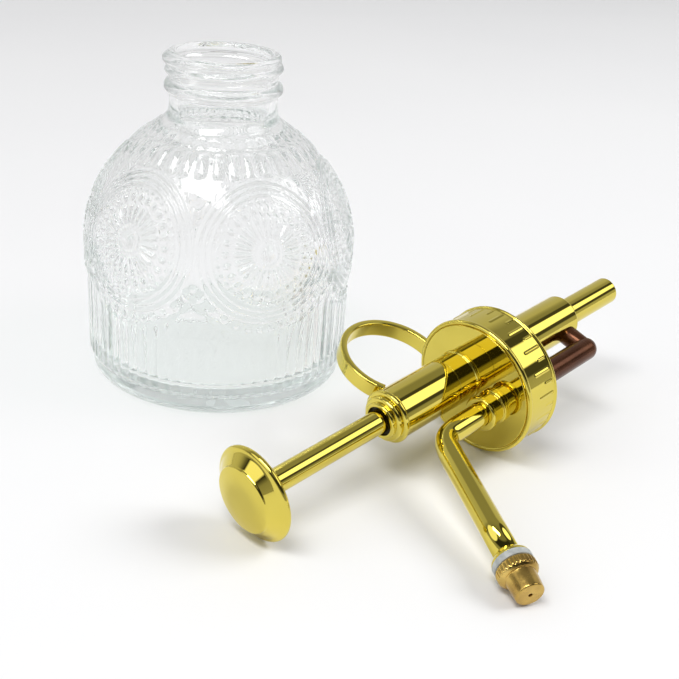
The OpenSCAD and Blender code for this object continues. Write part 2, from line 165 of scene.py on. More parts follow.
PUMP = pump_frame()
BARREL = moved(PUMP, -BARREL_OFF)
PIPE = moved(PUMP, PIPE_OFF)
ARM = arm_frame()
WORLD = Matrix.Identity(4)


# --- meshes -------------------------------------------------------------------------------------

def mesh_object(name, points, faces, matrix):
    """A smooth-shaded piece from points in millimetres; its place goes into its vertices."""
    mesh = bpy.data.meshes.new(name)
    mesh.from_pydata((np.asarray(points) * MM).tolist(), [], faces)
    mesh.transform(matrix)
    mesh.update()
    mesh.polygons.foreach_set("use_smooth", [True] * len(mesh.polygons))
    piece = bpy.data.objects.new(name, mesh)
    bpy.context.collection.objects.link(piece)
    return piece


def even_normals(piece):
    """Lets each flat or round face keep its own normals, with the shading kept in its rounded edges."""
    weighted = piece.modifiers.new("even normals", "WEIGHTED_NORMAL")
    weighted.keep_sharp = False
    return piece


def rounded(corners, radius, steps=5):
    """The outline with each inner corner rounded off; a corner may give its own radius as a third value."""
    points = [corners[0][:2]]
    for before, corner, after in zip(corners, corners[1:], corners[2:]):
        here = Vector(corner[:2])
        back, ahead = Vector(before[:2]) - here, Vector(after[:2]) - here
        cut = corner[2] if len(corner) > 2 else radius
        cut = min(cut, 0.49 * back.length, 0.49 * ahead.length)
        start, end = here + back.normalized() * cut, here + ahead.normalized() * cut
        for i in range(steps + 1):
            t = i / steps
            points.append(tuple(start * (1 - t) ** 2 + here * 2 * t * (1 - t) + end * t ** 2))
    return points + [corners[-1][:2]]


def ring_outline(corners, radius, steps=5):
    """A closed outline, rounded at every corner."""
    loop = list(corners) + list(corners[:2])
    return rounded(loop, radius, steps)[1:-1]


def arc(cx, cy, radius, start, end, steps):
    """Points of an arc, angles in degrees."""
    angles = np.radians(np.linspace(start, end, steps + 1))
    return [(cx + radius * math.cos(a), cy + radius * math.sin(a)) for a in angles]


def resampled(points, step):
    """The same outline with points no more than step apart."""
    out = [points[0]]
    for a, b in zip(points, points[1:]):
        count = max(1, math.ceil(math.dist(a, b) / step))
        out += [(a[0] + (b[0] - a[0]) * i / count, a[1] + (b[1] - a[1]) * i / count)
                for i in range(1, count + 1)]
    return out


def revolve(name, outline, matrix, columns=128, relief=None):
    """Turns an outline about z. A closed outline gives a ring; one from axis to axis gives a solid.
    relief(angle, length, radius, height) raises the surface, in millimetres along its normal."""
    line = np.array(outline, dtype=float)
    closed = line[0, 0] > AXIS_R
    along = np.gradient(line, axis=0)
    if closed:
        along = np.roll(line, -1, axis=0) - np.roll(line, 1, axis=0)
    normal = np.stack([along[:, 1], -along[:, 0]], axis=1)
    normal /= np.linalg.norm(normal, axis=1)[:, None]
    length = np.concatenate([[0], np.cumsum(np.linalg.norm(np.diff(line, axis=0), axis=1))])
    angle = np.arange(columns) / columns * TURN
    lift = np.zeros((len(line), columns))
    if relief is not None:
        lift = relief(angle[None, :], length[:, None], line[:, :1], line[:, 1:])
    r = line[:, :1] + normal[:, :1] * lift
    z = line[:, 1:] + normal[:, 1:] * lift
    points = np.stack([r * np.cos(angle), r * np.sin(angle), z + 0 * angle], axis=2)
    if not closed:
        points = points[1:-1]
    starts = np.arange(len(points)) * columns
    ends = np.roll(starts, -1) if closed else starts[1:]
    around = np.arange(columns)
    low, high = starts[:len(ends), None] + around, ends[:, None] + around
    quads = np.stack([low, np.roll(low, -1, 1), np.roll(high, -1, 1), high], axis=2)
    points, faces = points.reshape(-1, 3), quads.reshape(-1, 4).tolist()
    if not closed:
        bottom, top, beyond = len(points), len(points) + 1, np.roll(around, -1)
        points = np.concatenate([points, [(0, 0, line[0, 1]), (0, 0, line[-1, 1])]])
        faces += [[bottom, int(q), int(p)] for p, q in zip(around, beyond)]
        faces += [[int(starts[-1] + p), int(starts[-1] + q), top] for p, q in zip(around, beyond)]
    return mesh_object(name, points, faces, matrix)


def sweep(name, centres, tangents, side, sections, matrix):
    """Runs closed sections, in (side, other) pairs, along a path. One side, or one for each centre, gives
    the sections' first axis."""
    sides = np.broadcast_to(np.array(side, dtype=float), (len(centres), 3))
    rings = []
    for centre, tangent, first, section in zip(np.array(centres), np.array(tangents), sides, sections):
        other = np.cross(tangent / np.linalg.norm(tangent), first)
        rings.append(centre + section[:, :1] * first + section[:, 1:] * other)
    n, last = len(sections[0]), (len(rings) - 1) * len(sections[0])
    faces = [[i * n + k, i * n + (k + 1) % n, (i + 1) * n + (k + 1) % n, (i + 1) * n + k]
             for i in range(len(rings) - 1) for k in range(n)]
    faces += [list(range(n - 1, -1, -1)), list(range(last, last + n))]
    return mesh_object(name, np.concatenate(rings), faces, matrix)


def circle_section(radius, count=64):
    """A round section for sweep()."""
    angles = np.arange(count) / count * TURN
    return np.stack([radius * np.cos(angles), radius * np.sin(angles)], axis=1)


def dress(piece, body, slot, *nodes):
    """Gives a piece its slot's finish, the body that it rides on and the CAD nodes that it stands for."""
    piece.data.materials.append(FINISHES[slot])
    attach(piece, body)
    if nodes:
        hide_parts(*nodes)


def turned(name, outline, matrix, body, slot, node, columns=128):
    """A revolved piece with evenly shaded edges, which stands for one CAD node."""
    dress(even_normals(revolve(name, outline, matrix, columns)), body, slot, node)


# --- relief of the glass, in millimetres: x and y run across and up a medallion from its centre --

def ridge(distance, half_width):
    """1 on the line, falling smoothly to 0 at half_width from it."""
    t = np.clip(np.abs(distance) / half_width, 0, 1)
    return (1 - t * t) ** 2


def ramp(value, low, high):
    """0 below low, 1 above high, smooth between."""
    t = np.clip((value - low) / (high - low), 0, 1)
    return t * t * (3 - 2 * t)


def folded(angle, count):
    """The angle from the nearest of count evenly spread directions."""
    step = TURN / count
    return (angle + step / 2) % step - step / 2


def medallion_relief(x, y):
    """One round medallion: a button, petals, two rings of beads and three raised rings."""
    rho, alpha = np.hypot(x, y), np.arctan2(y, x)
    petal_side = folded(alpha, PETALS) * rho
    bead_side = folded(alpha + TURN / BEADS / 2, BEADS) * rho
    rings = sum(0.62 * ridge(rho - r, 0.9) for r in MEDALLION_RINGS)
    button = 1.0 * ridge(rho, 2.7) + 0.25 * ridge(rho - 3.6, 0.6)
    petals = ridge(petal_side, 0.105 * np.maximum(rho, 1))
    petals = 0.7 * petals * ramp(rho, 4.3, 5.6) * (1 - ramp(rho, 9.4, 10.3))
    long_beads = 0.8 * ridge(np.hypot(petal_side / 1.05, (rho - 12.3) / 1.5), 1)
    round_beads = 0.5 * ridge(np.hypot(bead_side / 0.95, (rho - 14.7) / 0.7), 1)
    return rings + button + petals + long_beads + round_beads


def rib_relief(angle, x, y, z):
    """Upright ribs from the foot to a circle round each medallion, each with an oval bead on top."""
    rib_angle = folded(angle - MEDALLION_TURN + TURN / RIBS / 2, RIBS)
    side = rib_angle * BELT_R
    middle = x - side
    rho = np.hypot(x, y)
    half = BELT_R * TURN / RIBS / 2
    body = np.sqrt(np.clip(1 - (side / (half * 1.02)) ** 2, 0, 1))
    inside = ramp(rho, RIB_TOP - 0.7, RIB_TOP + 0.5) * (1 - ramp(y, -6, -4)) * ramp(z, *RIB_FOOT)
    bead_y = -np.sqrt(np.clip(RIB_BEADS ** 2 - middle ** 2, 0, None))
    beads = ridge(np.hypot(side / 1.25, (y - bead_y) / 1.75), 1) * (y < 0)
    return 0.66 * body * inside + 0.75 * beads


def pendant_relief(x, y, z_low):
    """A small bead in a U between two medallions."""
    aside = BELT_R * TURN / MEDALLIONS / 2 - np.abs(x)
    down = y - z_low
    bow = ridge(np.hypot(aside, down) - 2.6, 0.9) * (1 - ramp(down, 0.2, 1.0))
    return 0.4 * bow + 0.4 * ridge(np.hypot(aside / 1.1, (down - 1.2) / 1.3), 1)


def shoulder_relief(angle, x, y, radius, z):
    """A sunburst of two rows of petals round the neck, and beads above the medallions."""
    side = folded(angle, SHOULDER_PETALS) * radius
    on_shoulder = z > MEDALLION_Z
    reach = np.maximum(radius, 1)
    short = np.sqrt(ridge(side, 0.085 * reach)) * ramp(-radius, -22.0, -21.2) * ramp(radius, 18.2, 19.2)
    between = folded(angle + TURN / SHOULDER_PETALS / 2, SHOULDER_PETALS) * radius
    long = np.sqrt(ridge(between, 0.062 * reach)) * ramp(-radius, -28.8, -27.4) * ramp(radius, 22.6, 23.4)
    bead_side = folded(angle, RIBS) * BELT_R / 0.95
    beads = ridge(np.hypot(bead_side, np.hypot(x, y) - SHOULDER_BEADS), 1) * ramp(y, 4, 6)
    return (0.28 * short + 0.38 * long + 0.35 * beads * (radius > 29.0)) * on_shoulder


def thread_relief(angle, z, start, low, turns, height, half_width):
    """A right-hand thread from the angle and height where it starts, fading in and out at its ends."""
    lift = 0
    for turn in (0, 1):
        part = ((angle - start) % TURN) / TURN + turn
        fade = ramp(part, 0, 0.1) * (1 - ramp(part, turns - 0.1, turns))
        lift = lift + height * fade * np.sqrt(ridge(z - low - part * THREAD_PITCH, half_width))
    return lift


def glass_relief(centre_length, inner_length):
    """The bottle's whole relief, for revolve(). Along the outline, the medallions' centres are at
    centre_length, and the inner surface, with its faint waves, starts at inner_length."""
    def relief(angle, length, radius, z):
        x = folded(angle - MEDALLION_TURN, MEDALLIONS) * BELT_R
        y = length - centre_length
        lift = medallion_relief(x, y) * (np.hypot(x, y) < MEDALLION_R) + rib_relief(angle, x, y, z)
        lift += pendant_relief(x, y, PENDANT_Z - MEDALLION_Z) + shoulder_relief(angle, x, y, radius, z)
        lift *= (z < RELIEF_TOP)
        thread = thread_relief(angle, z, THREAD_START, THREAD_Z, THREAD_TURNS, *NECK_RIDGE)
        lift += thread * (z > THREAD_LOW)
        lift = np.minimum(lift, WIDEST_R - radius)
        waves = 0.05 * np.sin(5 * angle + 0.11 * z) + 0.04 * np.sin(3 * angle - 0.23 * z)
        return np.where(length < inner_length, lift, waves * np.clip(length - inner_length, 0, 1))
    return relief


def bottle_outlines():
    """The bottle's outer outline from the axis to the lip, and its inner one back down."""
    shoulder = arc(SHOULDER_R, SHOULDER_Z, OUTER_ARC_R, 0, 44, 60)
    outer = rounded([(0, 0.9), (29, 0.9), (31, 0.05), (36.0, 0.05), (38.6, 2.2), (39.1, 5.5), (39.2, 31.5),
                     (40.1, 34.5), (40.2, SHOULDER_Z)], 1.6, 8)
    flare = rounded([shoulder[-1], (24.6, 72.6), (18.6, 76.9), (15.9, 79.8), (NECK_R, 82.5), (NECK_R, 85.9),
                     (16.9, 86.4), (17.2, 87.5), (16.9, 88.7), (NECK_R, 89.4), (NECK_R, 94.6),
                     (16.3, 95.2), (16.3, 96.6), (NECK_R, LIP_Z)], 2.2, 6)
    outer += shoulder[1:-1] + flare
    inner = rounded([(NECK_R, LIP_Z), (14.1, LIP_Z), (BORE_R, 96.5), (BORE_R, 76.5), (16.5, 73.8)], 1.2, 6)
    inner += arc(SHOULDER_R, SHOULDER_Z, INNER_ARC_R, 66, 0, 60)
    inner += rounded([(37.2, SHOULDER_Z), (36.2, 34), (36.2, 7.6, 5), (0, 7.2)], 4, 10)[1:]
    return outer, inner[1:]


def make_bottle():
    """The bottle as one shell, outside and inside, with its relief in the mesh."""
    step, columns_per_rib = ((0.45, 10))
    outer, inner = bottle_outlines()
    outer = resampled(outer, step)
    inner = resampled(inner, 2.5)
    outline = [p for p in outer if p[0] > AXIS_R or p == outer[0]] + inner
    lengths = np.concatenate([[0], np.cumsum([math.dist(a, b) for a, b in zip(outer, outer[1:])])])
    heights = np.array(outer)[:, 1]
    first_above = int(np.argmax(heights > MEDALLION_Z))
    relief = glass_relief(float(lengths[first_above]), float(lengths[-1]) - 0.3)
    piece = revolve("glass_bottle", outline, WORLD, RIBS * columns_per_rib, relief)
    dress(piece, "bottle_body", "glass", "bottle")


# --- materials ----------------------------------------------------------------------------------

class Nodes:
    """A material's node tree, with short calls for the nodes that the finishes share."""

    def __init__(self, name, **sockets):
        self.material = bpy.data.materials.new(name)
        self.material.use_nodes = True
        self.tree = self.material.node_tree
        self.shader = self.tree.nodes["Principled BSDF"]
        self.output = self.tree.nodes["Material Output"]
        for socket, value in sockets.items():
            self.shader.inputs[socket.replace("_", " ")].default_value = value
        self.place = self.add("ShaderNodeTexCoord").outputs["Object"]

    def add(self, kind, **settings):
        """A new node with these settings."""
        node = self.tree.nodes.new(kind)
        for key, value in settings.items():
            setattr(node, key, value)
        return node

    def link(self, source, target):
        self.tree.links.new(source, target)

    def noise(self, scale, detail=4.0, stretch=None):
        """Noise at scale cycles a metre, stretched along the pump's or the world's axes."""
        node = self.add("ShaderNodeTexNoise")
        node.inputs["Scale"].default_value = scale
        node.inputs["Detail"].default_value = detail
        place = self.place
        if stretch is not None:
            mapping = self.add("ShaderNodeMapping")
            mapping.inputs["Scale"].default_value = stretch
            mapping.inputs["Rotation"].default_value = PUMP.to_3x3().transposed().to_euler()
            self.link(place, mapping.inputs["Vector"])
            place = mapping.outputs["Vector"]
        self.link(place, node.inputs["Vector"])
        return node.outputs["Fac"]

    def spread(self, source, low, high, start=0.3, end=0.7):
        """Maps a noise value from start..end to low..high."""
        node = self.add("ShaderNodeMapRange")
        for name, value in (("From Min", start), ("From Max", end), ("To Min", low), ("To Max", high)):
            node.inputs[name].default_value = value
        self.link(source, node.inputs["Value"])
        return node.outputs["Result"]

    def colours(self, source, *stops):
        """Base colours by a noise value, as stops of place and colour."""
        node = self.add("ShaderNodeValToRGB")
        ramp_ = node.color_ramp
        while len(ramp_.elements) < len(stops):
            ramp_.elements.new(0.5)
        for element, (place, colour) in zip(ramp_.elements, stops):
            element.position = place
            element.color = (*colour, 1)
        self.link(source, node.inputs["Fac"])
        self.link(node.outputs["Color"], self.shader.inputs["Base Color"])

    def roughness(self, source):
        self.link(source, self.shader.inputs["Roughness"])

    def bump(self, source, depth, strength=1.0):
        """Bump of a depth in millimetres, on top of any bump that is there."""
        node = self.add("ShaderNodeBump")
        node.inputs["Distance"].default_value = depth * MM
        node.inputs["Strength"].default_value = strength
        self.link(source, node.inputs["Height"])
        if self.shader.inputs["Normal"].is_linked:
            self.link(self.shader.inputs["Normal"].links[0].from_socket, node.inputs["Normal"])
        self.link(node.outputs["Normal"], self.shader.inputs["Normal"])


def glass_material():
    """Clear soda-lime glass: slightly green where it is thick, with faint waves from the mould. Light
    from the lamps passes straight through, so that it reaches what stands behind."""
    n = Nodes("pressed_glass", Transmission_Weight=1.0, IOR=1.45, Base_Color=(1.0, 1.0, 1.0, 1))
    n.roughness(n.spread(n.noise(60, 2), 0.0, 0.03))
    n.bump(n.noise(140, 2), 0.03, 0.4)
    absorb = n.add("ShaderNodeVolumeAbsorption")
    absorb.inputs["Color"].default_value = (0.47, 0.57, 0.54, 1)
    absorb.inputs["Density"].default_value = 8.0
    n.link(absorb.outputs["Volume"], n.output.inputs["Volume"])
    path, either = n.add("ShaderNodeLightPath"), n.add("ShaderNodeMath", operation="MAXIMUM")
    n.link(path.outputs["Is Shadow Ray"], either.inputs[0])
    n.link(path.outputs["Is Diffuse Ray"], either.inputs[1])
    clear, mix = n.add("ShaderNodeBsdfTransparent"), n.add("ShaderNodeMixShader")
    clear.inputs["Color"].default_value = (0.97, 0.98, 0.975, 1)
    n.link(either.outputs["Value"], mix.inputs["Fac"])
    n.link(n.shader.outputs["BSDF"], mix.inputs[1])
    n.link(clear.outputs["BSDF"], mix.inputs[2])
    n.link(mix.outputs["Shader"], n.output.inputs["Surface"])
    return n.material


def gold_material():
    """Mirror gold plate with soft smudges, a faint waviness and hairline scratches."""
    n = Nodes("gold_plate", Metallic=1.0)
    n.colours(n.noise(45, 3), (0.3, (0.7, 0.575, 0.1)), (0.7, (0.76, 0.635, 0.125)))
    n.roughness(n.spread(n.noise(220, 5), 0.02, 0.065, 0.35, 0.75))
    n.bump(n.noise(70, 2), 0.02, 0.25)
    n.bump(n.noise(1800, 2, (1, 1, 0.04)), 0.002, 0.3)
    return n.material


def satin_brass_material():
    """Raw turned brass, darker in patches, with fine turning lines."""
    n = Nodes("satin_brass", Metallic=1.0)
    n.colours(n.noise(160, 5), (0.3, (0.4, 0.25, 0.065)), (0.55, (0.62, 0.42, 0.11)),
              (0.75, (0.74, 0.53, 0.16)))
    n.roughness(n.spread(n.noise(500, 4), 0.14, 0.3))
    n.bump(n.noise(2600, 3), 0.012, 0.5)
    return n.material


def bronze_material():
    """Dark brown patina with a soft sheen."""
    n = Nodes("brown_bronze", Metallic=0.75)
    n.colours(n.noise(90, 4), (0.3, (0.075, 0.026, 0.011)), (0.7, (0.14, 0.052, 0.022)))
    n.roughness(n.spread(n.noise(300, 4), 0.16, 0.3))
    n.bump(n.noise(400, 3), 0.01, 0.4)
    return n.material


def fibre_material():
    """Pressed grey fibre, matt and slightly mottled."""
    n = Nodes("grey_fibre", Specular_IOR_Level=0.3)
    n.colours(n.noise(700, 5), (0.3, (0.36, 0.38, 0.37)), (0.7, (0.56, 0.58, 0.56)))
    n.roughness(n.spread(n.noise(900, 4), 0.6, 0.85))
    n.bump(n.noise(1500, 5), 0.06, 0.6)
    return n.material


def black_material():
    """Dark sealing rubber."""
    n = Nodes("black_seal", Specular_IOR_Level=0.35)
    n.colours(n.noise(500, 4), (0.3, (0.012, 0.011, 0.01)), (0.7, (0.03, 0.027, 0.024)))
    n.roughness(n.spread(n.noise(700, 4), 0.45, 0.65))
    n.bump(n.noise(1500, 3), 0.02, 0.5)
    return n.material


def steel_material():
    """Drawn spring steel."""
    n = Nodes("drawn_steel", Metallic=1.0)
    n.colours(n.noise(300, 4), (0.3, (0.48, 0.48, 0.49)), (0.7, (0.6, 0.6, 0.61)))
    n.roughness(n.spread(n.noise(800, 4), 0.2, 0.35))
    n.bump(n.noise(3000, 2), 0.004, 0.4)
    return n.material


FINISHES = {"gold": gold_material(), "satin_brass": satin_brass_material(), "fibre": fibre_material(),
            "bronze": bronze_material(), "black_seal": black_material(), "glass": glass_material(),
            "steel": steel_material()}


# --- pump pieces --------------------------------------------------------------------------------

def cap_relief(angle, length, radius, z):
    """Raised marks round the wall, long and short in turn, from the cap's mouth, and the thread inside."""
    side = folded(angle - MARK_TURN, CAP_MARKS) * CAP_R
    index = np.floor((angle - MARK_TURN) / TURN * CAP_MARKS + 0.5) % 2
    span = np.where(index == 0, MARK_LONG, MARK_SHORT)
    beyond = np.clip(np.abs(z - (MARK_RISE - CAP_H) - span / 2) - span / 2, 0, None)
    on_wall = radius > CAP_R - 0.6
    mark = MARK_T * (1 - ramp(np.hypot(side, beyond), *MARK_EDGE)) * on_wall
    thread = thread_relief(angle, z, 0, CAP_THREAD_RISE - CAP_H, CAP_THREAD_TURNS, *CAP_RIDGE)
    return mark + thread * (radius < CAP_BORE_R + 0.01) * (z < PLATE_Z - PLATE_T - 0.1)


def make_cap():
    """The cap: a thin bead at its mouth, a marked wall, a round rim, a groove and the bore."""
    wall, low, plate = CAP_R - 0.5, -CAP_H, PLATE_Z
    mouth = arc(CAP_R - 0.45, low + 0.45, 0.43, -90, 70, 12)
    outer = [(CAP_BORE_R, low)] + mouth + [(wall, low + 1.1), (wall, -1.9)]
    rim = arc(CAP_R - 0.75, plate - 0.75, 0.73, -35, 172, 22)
    groove, edge = plate - 0.35, PLATE_R - 0.1
    inside = [(PLATE_R + 0.5, plate - 0.1), (PLATE_R + 0.4, groove, 0.12), (edge, groove),
              (edge, plate - PLATE_T), (CAP_BORE_R, plate - PLATE_T)]
    bore = resampled([inside[-1], outer[0]], 0.25)[1:-1]
    outline = resampled(rounded(outer, 0.12, 3), 0.2) + rim + rounded(inside, 0.2, 4) + bore
    piece = revolve("cap_shell_gold", outline, PUMP, CAP_MARKS * 16, cap_relief)
    dress(even_normals(piece), "pump", "gold", "cap_shell")


def make_plate():
    """The cap's flat plate, open where the barrel goes through it; extra loops keep its mirror flat."""
    low, top, count, bevel = PLATE_Z - PLATE_T, PLATE_Z, 192, 0.1
    angles = np.arange(count) / count * TURN
    loops = [(0, PLATE_R, low), (0, PLATE_R, top - bevel), (0, PLATE_R - bevel, top),
             (0, PLATE_R - 2 * bevel, top), (-BARREL_OFF, CYLINDER_R + bevel, top),
             (-BARREL_OFF, CYLINDER_R - bevel, top), (-BARREL_OFF, CYLINDER_R - bevel, low)]
    points = np.concatenate([np.stack([x + r * np.cos(angles), r * np.sin(angles), z + 0 * angles], axis=1)
                             for x, r, z in loops])
    faces = [[a * count + k, a * count + (k + 1) % count, b * count + (k + 1) % count, b * count + k]
             for a, b in zip(range(len(loops)), [*range(1, len(loops)), 0]) for k in range(count)]
    plate = mesh_object("cap_plate_gold", points, faces, PUMP)
    dress(even_normals(plate), "pump", "gold")


def make_barrel():
    """The barrel above the cap: its foot, its sleeve, and the beaded collar with the rod's bush."""
    r, top = SLEEVE_R, SLEEVE_TOP
    boss = ring_outline([(CYLINDER_R, PLATE_Z), (r + 0.3, PLATE_Z, 0.1), (r + 0.35, 0.15, 0.25),
                         (r, 0.4, 0.1), (r, SLEEVE_LOW - 0.04, 0.08), (CYLINDER_R, SLEEVE_LOW - 0.04)], 0.1)
    sleeve = ring_outline([(CYLINDER_R, SLEEVE_LOW + 0.04), (r, SLEEVE_LOW + 0.04, 0.08), (r, top, 0.12),
                           (CYLINDER_R, top)], 0.1)
    hole, rod = ROD_R + 0.9, ROD_R + 0.05
    collar = ring_outline([(hole, top), (r - 0.1, top, 0.05), (r + 0.5, top + 0.45, 0.5),
                           (r + 0.35, top + 1.5, 0.5), (r - 1.1, top + 1.75, 0.2), (r - 0.55, top + 2.2, 0.4),
                           (r - 0.9, top + 3.1, 0.4), (r - 2.1, top + 3.2, 0.15), (r - 1.85, top + 3.7, 0.3),
                           (r - 2.1, top + 4.3, 0.3), (hole, top + 4.25, 0.2)], 0.3)
    bush = ring_outline([(rod, top + 0.1), (hole, top + 0.1), (hole, top + 3.2), (rod, top + 3.2)], 0.1)
    turned("barrel_boss_gold", boss, BARREL, "pump", "gold", "barrel_boss")
    turned("barrel_sleeve_gold", sleeve, BARREL, "pump", "gold", "barrel_sleeve")
    turned("barrel_collar_gold", collar, BARREL, "pump", "gold", "barrel_collar")
    turned("rod_bush_dark", bush, BARREL, "pump", "black_seal", "rod_bush")


def make_lower_barrel():
    """The cylinder, which runs on inside the sleeve, and the narrower inlet tube below it."""
    r, bore, low = CYLINDER_R, CYLINDER_BORE_R, -CYLINDER_DROP
    cylinder = ring_outline([(bore, low), (r - 0.5, low, 0.1), (r, low + 0.5, 0.3), (r, SLEEVE_TOP),
                             (bore, SLEEVE_TOP)], 0.15)
    tube, hole, end = INLET_R, INLET_BORE_R, -INLET_DROP
    inlet = ring_outline([(hole, end, 0.15), (tube - 0.25, end, 0.15), (tube, end + 0.3, 0.2),
                          (tube, low - 0.6, 0.3), (tube + 0.45, low, 0.2), (bore, low + 0.02, 0.1),
                          (bore, low + 1.5), (hole, low + 1.5)], 0.2)
    turned("pump_cylinder_gold", cylinder, BARREL, "pump", "gold", "pump_cylinder")
    turned("inlet_tube_gold", inlet, BARREL, "pump", "gold", "inlet_tube")


def make_transfer_pipe():
    """The brown pipe with its round end, and the short link to the barrel."""
    r, bore, low = PIPE_R, PIPE_BORE_R, -PIPE_DROP
    outline = arc(0, low + r, r, -90, 0, 16)
    outline += rounded([(r, low + r + 0.5), (r, PLATE_Z, 0.1), (bore, PLATE_Z, 0.1), (bore, low + 2, 0.2),
                        (0, low + 2)], 0.2, 5)
    turned("transfer_pipe_bronze", outline, PIPE, "pump", "bronze", "transfer_pipe")
    across = moved(PUMP, -BARREL_OFF, 0, low + r) @ Matrix.Rotation(math.pi / 2, 4, "Y")
    near, far, link = CYLINDER_R - 0.3, BARREL_OFF + PIPE_OFF, r - 0.4
    outline = [(0, near), (link, near), (link, far), (0, far)]
    turned("transfer_link_bronze", outline, across, "pump", "bronze", "transfer_elbow", 64)


def make_socket():
    """The spray pipe's foot on the plate, and the bead on top of it."""
    r, top, crown = SOCKET_R, SOCKET_TOP, SOCKET_RING_TOP
    foot = ring_outline([(TUBE_R, PLATE_Z), (r, PLATE_Z, 0.1), (r, 0.75, 0.45), (4.4, 0.9, 0.15),
                         (4.35, top, 0.1), (TUBE_R, top)], 0.15)
    bead = ring_outline([(TUBE_R, top), (4.5, top, 0.2), (r, 4.3, 0.7), (r, 5.75, 0.7), (4.1, crown, 0.3),
                         (TUBE_R, crown, 0.2)], 0.3)
    turned("spray_socket_gold", foot, PIPE, "pump", "gold", "spray_socket")
    turned("socket_ring_gold", bead, PIPE, "pump", "gold", "socket_ring")


def make_spray_tube():
    """The bent tube, drawn in the arm's own frame, where the pipe comes from below. The bend's outer side
    is a little flat."""
    to_arm = ARM.inverted() @ PUMP
    down = np.array(to_arm.to_3x3() @ Vector((0, 0, -1)))
    cut, half_bend = ELBOW_BEND * math.tan(ELBOW_TURN / 2), ELBOW_BEND * ELBOW_TURN / 2
    centre = down * cut + np.cross((0, 1.0, 0), -down) * ELBOW_BEND
    path = [(down * reach, -down, half_bend + reach - cut)
            for reach in (ELBOW_Z + 0.3, ELBOW_Z - 8, *np.linspace(cut + BEND_RUN, cut + 0.2, 8))]
    for i in range(25):
        turn = Matrix.Rotation(ELBOW_TURN * i / 24, 3, (0, 1, 0))
        path.append((centre + np.array(turn @ Vector(down * cut - centre)), np.array(turn @ Vector(-down)),
                     half_bend * (i / 12 - 1)))
    ahead = np.array((0, 0, 1.0))
    path += [(ahead * reach, ahead, half_bend + reach - cut)
             for reach in (*np.linspace(cut + 0.2, cut + BEND_RUN, 8), 20, 32, WASHER_AT - 1.6)]
    centres, tangents, from_middle = zip(*path)
    sections = []
    for distance in from_middle:
        section = circle_section(TUBE_R)
        flat = BEND_FLAT * (1 - ramp(abs(distance), 1.0, half_bend + BEND_RUN))
        section[section[:, 1] > 0, 1] *= 1 - flat
        sections.append(section)
    piece = sweep("spray_tube_gold", centres, tangents, (0, 1, 0), sections, ARM)
    dress(piece, "pump", "gold", "spray_tube")


def make_nozzle():
    """The seat at the pipe's end with its spigot, the washer, and the nozzle with its knurled grip."""
    seat_at, spigot, bore = WASHER_AT, SPIGOT_R, SPIGOT_BORE_R
    seat = ring_outline([(bore, seat_at - 2.2), (TUBE_R, seat_at - 2.2, 0.1),
                         (TUBE_R + 0.5, seat_at - 1.9, 0.2), (4.9, seat_at - 0.6, 0.2), (5.0, seat_at, 0.1),
                         (spigot, seat_at, 0.1), (spigot, seat_at + 4.5), (bore, seat_at + 4.5)], 0.2)
    washer = ring_outline([(spigot, seat_at), (WASHER_R, seat_at, 0.3), (WASHER_R, KNURL_AT - 0.02, 0.3),
                           (spigot, KNURL_AT - 0.02)], 0.1)
    turned("nozzle_seat_gold", seat, ARM, "pump", "gold", "nozzle_seat")
    turned("nozzle_washer_grey", washer, ARM, "pump", "fibre", "nozzle_washer")
    at, tip, end, inside = KNURL_AT, TIP_AT, ARM_L, SPIGOT_R + 0.05
    outer = [(inside, at), (GRIP_R - 0.2, at, 0.1), (GRIP_R, at + 0.2, 0.2), (GRIP_R, tip - 0.1, 0.2),
             (4.35, tip + 0.42, 0.1), (3.95, tip + 0.5, 0.15), (3.6, end, 0.5), (0.55, end, 0.08),
             (0.45, end - 0.9, 0.1), (0.4, at + 3.6)]
    outline = resampled(rounded(outer, 0.2, 5), 0.3) + [(inside, at + 3.6)]

    def knurl(angle, length, radius, z):
        on_grip = (radius > GRIP_R - 0.15) * ramp(z, at + 0.1, at + 0.5) * (1 - ramp(z, tip - 0.5, tip - 0.1))
        return KNURL_DEPTH * on_grip * np.abs(np.cos(KNURLS / 2 * angle))

    piece = revolve("spray_nozzle_brass", outline, ARM, KNURLS * 10, knurl)
    dress(piece, "nozzle", "satin_brass", "spray_nozzle")


def make_plunger():
    """The plunger's rod, and the knob with its low round disc."""
    rod = rounded([(0, ROD_LOW), (ROD_R, ROD_LOW, 0.1), (ROD_R, KNOB_Z - 1, 0.1), (0, KNOB_Z - 1)], 0.1)
    z, r, edge = KNOB_Z, KNOB_R, KNOB_EDGE
    rim = arc(r - edge, z, edge, -88, 60, 14)
    knob = rounded([(0, z - 2.6), (3.6, z - 2.6, 0.2), (4.5, z - 2.2, 0.4), (4.6, z - edge, 0.3), rim[0]],
                   0.4, 5)
    knob += rim[1:-1]
    knob += rounded([rim[-1], (r - edge - 0.3, z + edge + 0.2, 0.4), (9.0, z + 3.3, 0.15),
                     (8.8, z + 3.8, 0.3), (5.5, z + 4.4, 2.0), (0, z + 4.6)], 0.6, 8)
    turned("plunger_rod_gold", rod, BARREL, "plunger", "gold", "plunger_rod", 96)
    turned("thumb_knob_gold", knob, BARREL, "plunger", "gold", "thumb_knob", 192)


